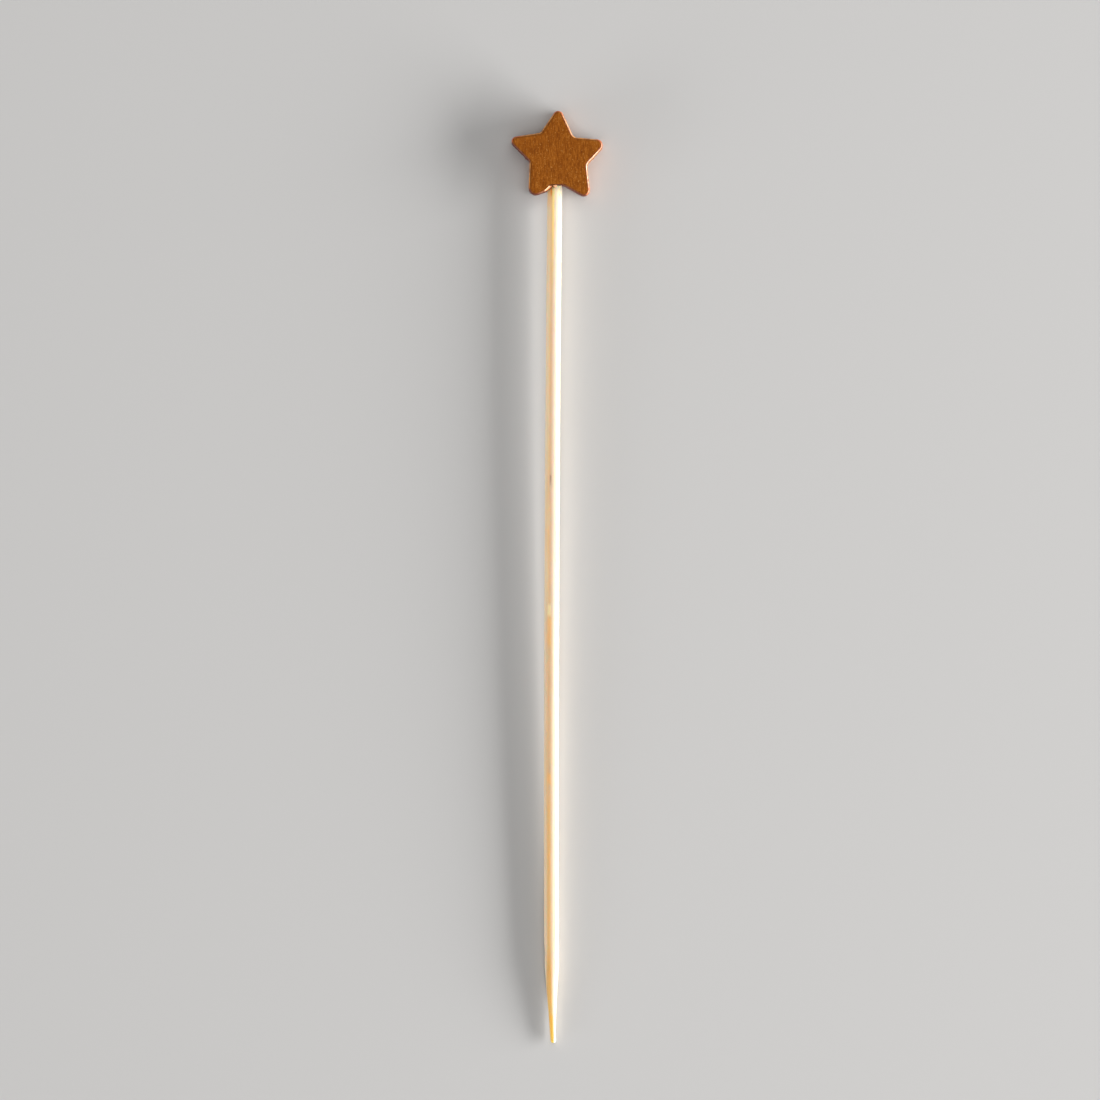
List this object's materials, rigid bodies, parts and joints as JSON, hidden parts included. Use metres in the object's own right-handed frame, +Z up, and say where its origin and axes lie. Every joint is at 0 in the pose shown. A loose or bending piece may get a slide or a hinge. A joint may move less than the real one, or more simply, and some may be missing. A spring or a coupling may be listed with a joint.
{
  "type": "star bamboo skewer",
  "caption": "Party pick with a painted wooden star glued on the blunt end of a pointed bamboo stick, for spearing and decorating small food.",
  "frame": {"origin": "on the table that it lies on, under the middle of the box that the whole piece fills", "axes": "+Y along the stick from its point to the star, +X to the right of the star seen from above, +Z up off the table"},
  "size_m": [0.0118, 0.12, 0.0038],
  "materials": {
    "copper_paint_on_wood": "thin satin copper-gold metallic paint on fine grained wood",
    "bamboo": "bare planed bamboo with long fine fibres",
    "dried_glue": "dried clear yellowish wood glue"
  },
  "bodies": {
    "root": {"star": "copper_paint_on_wood", "skewer": "bamboo", "glue": "dried_glue"}
  },
  "joints": []
}
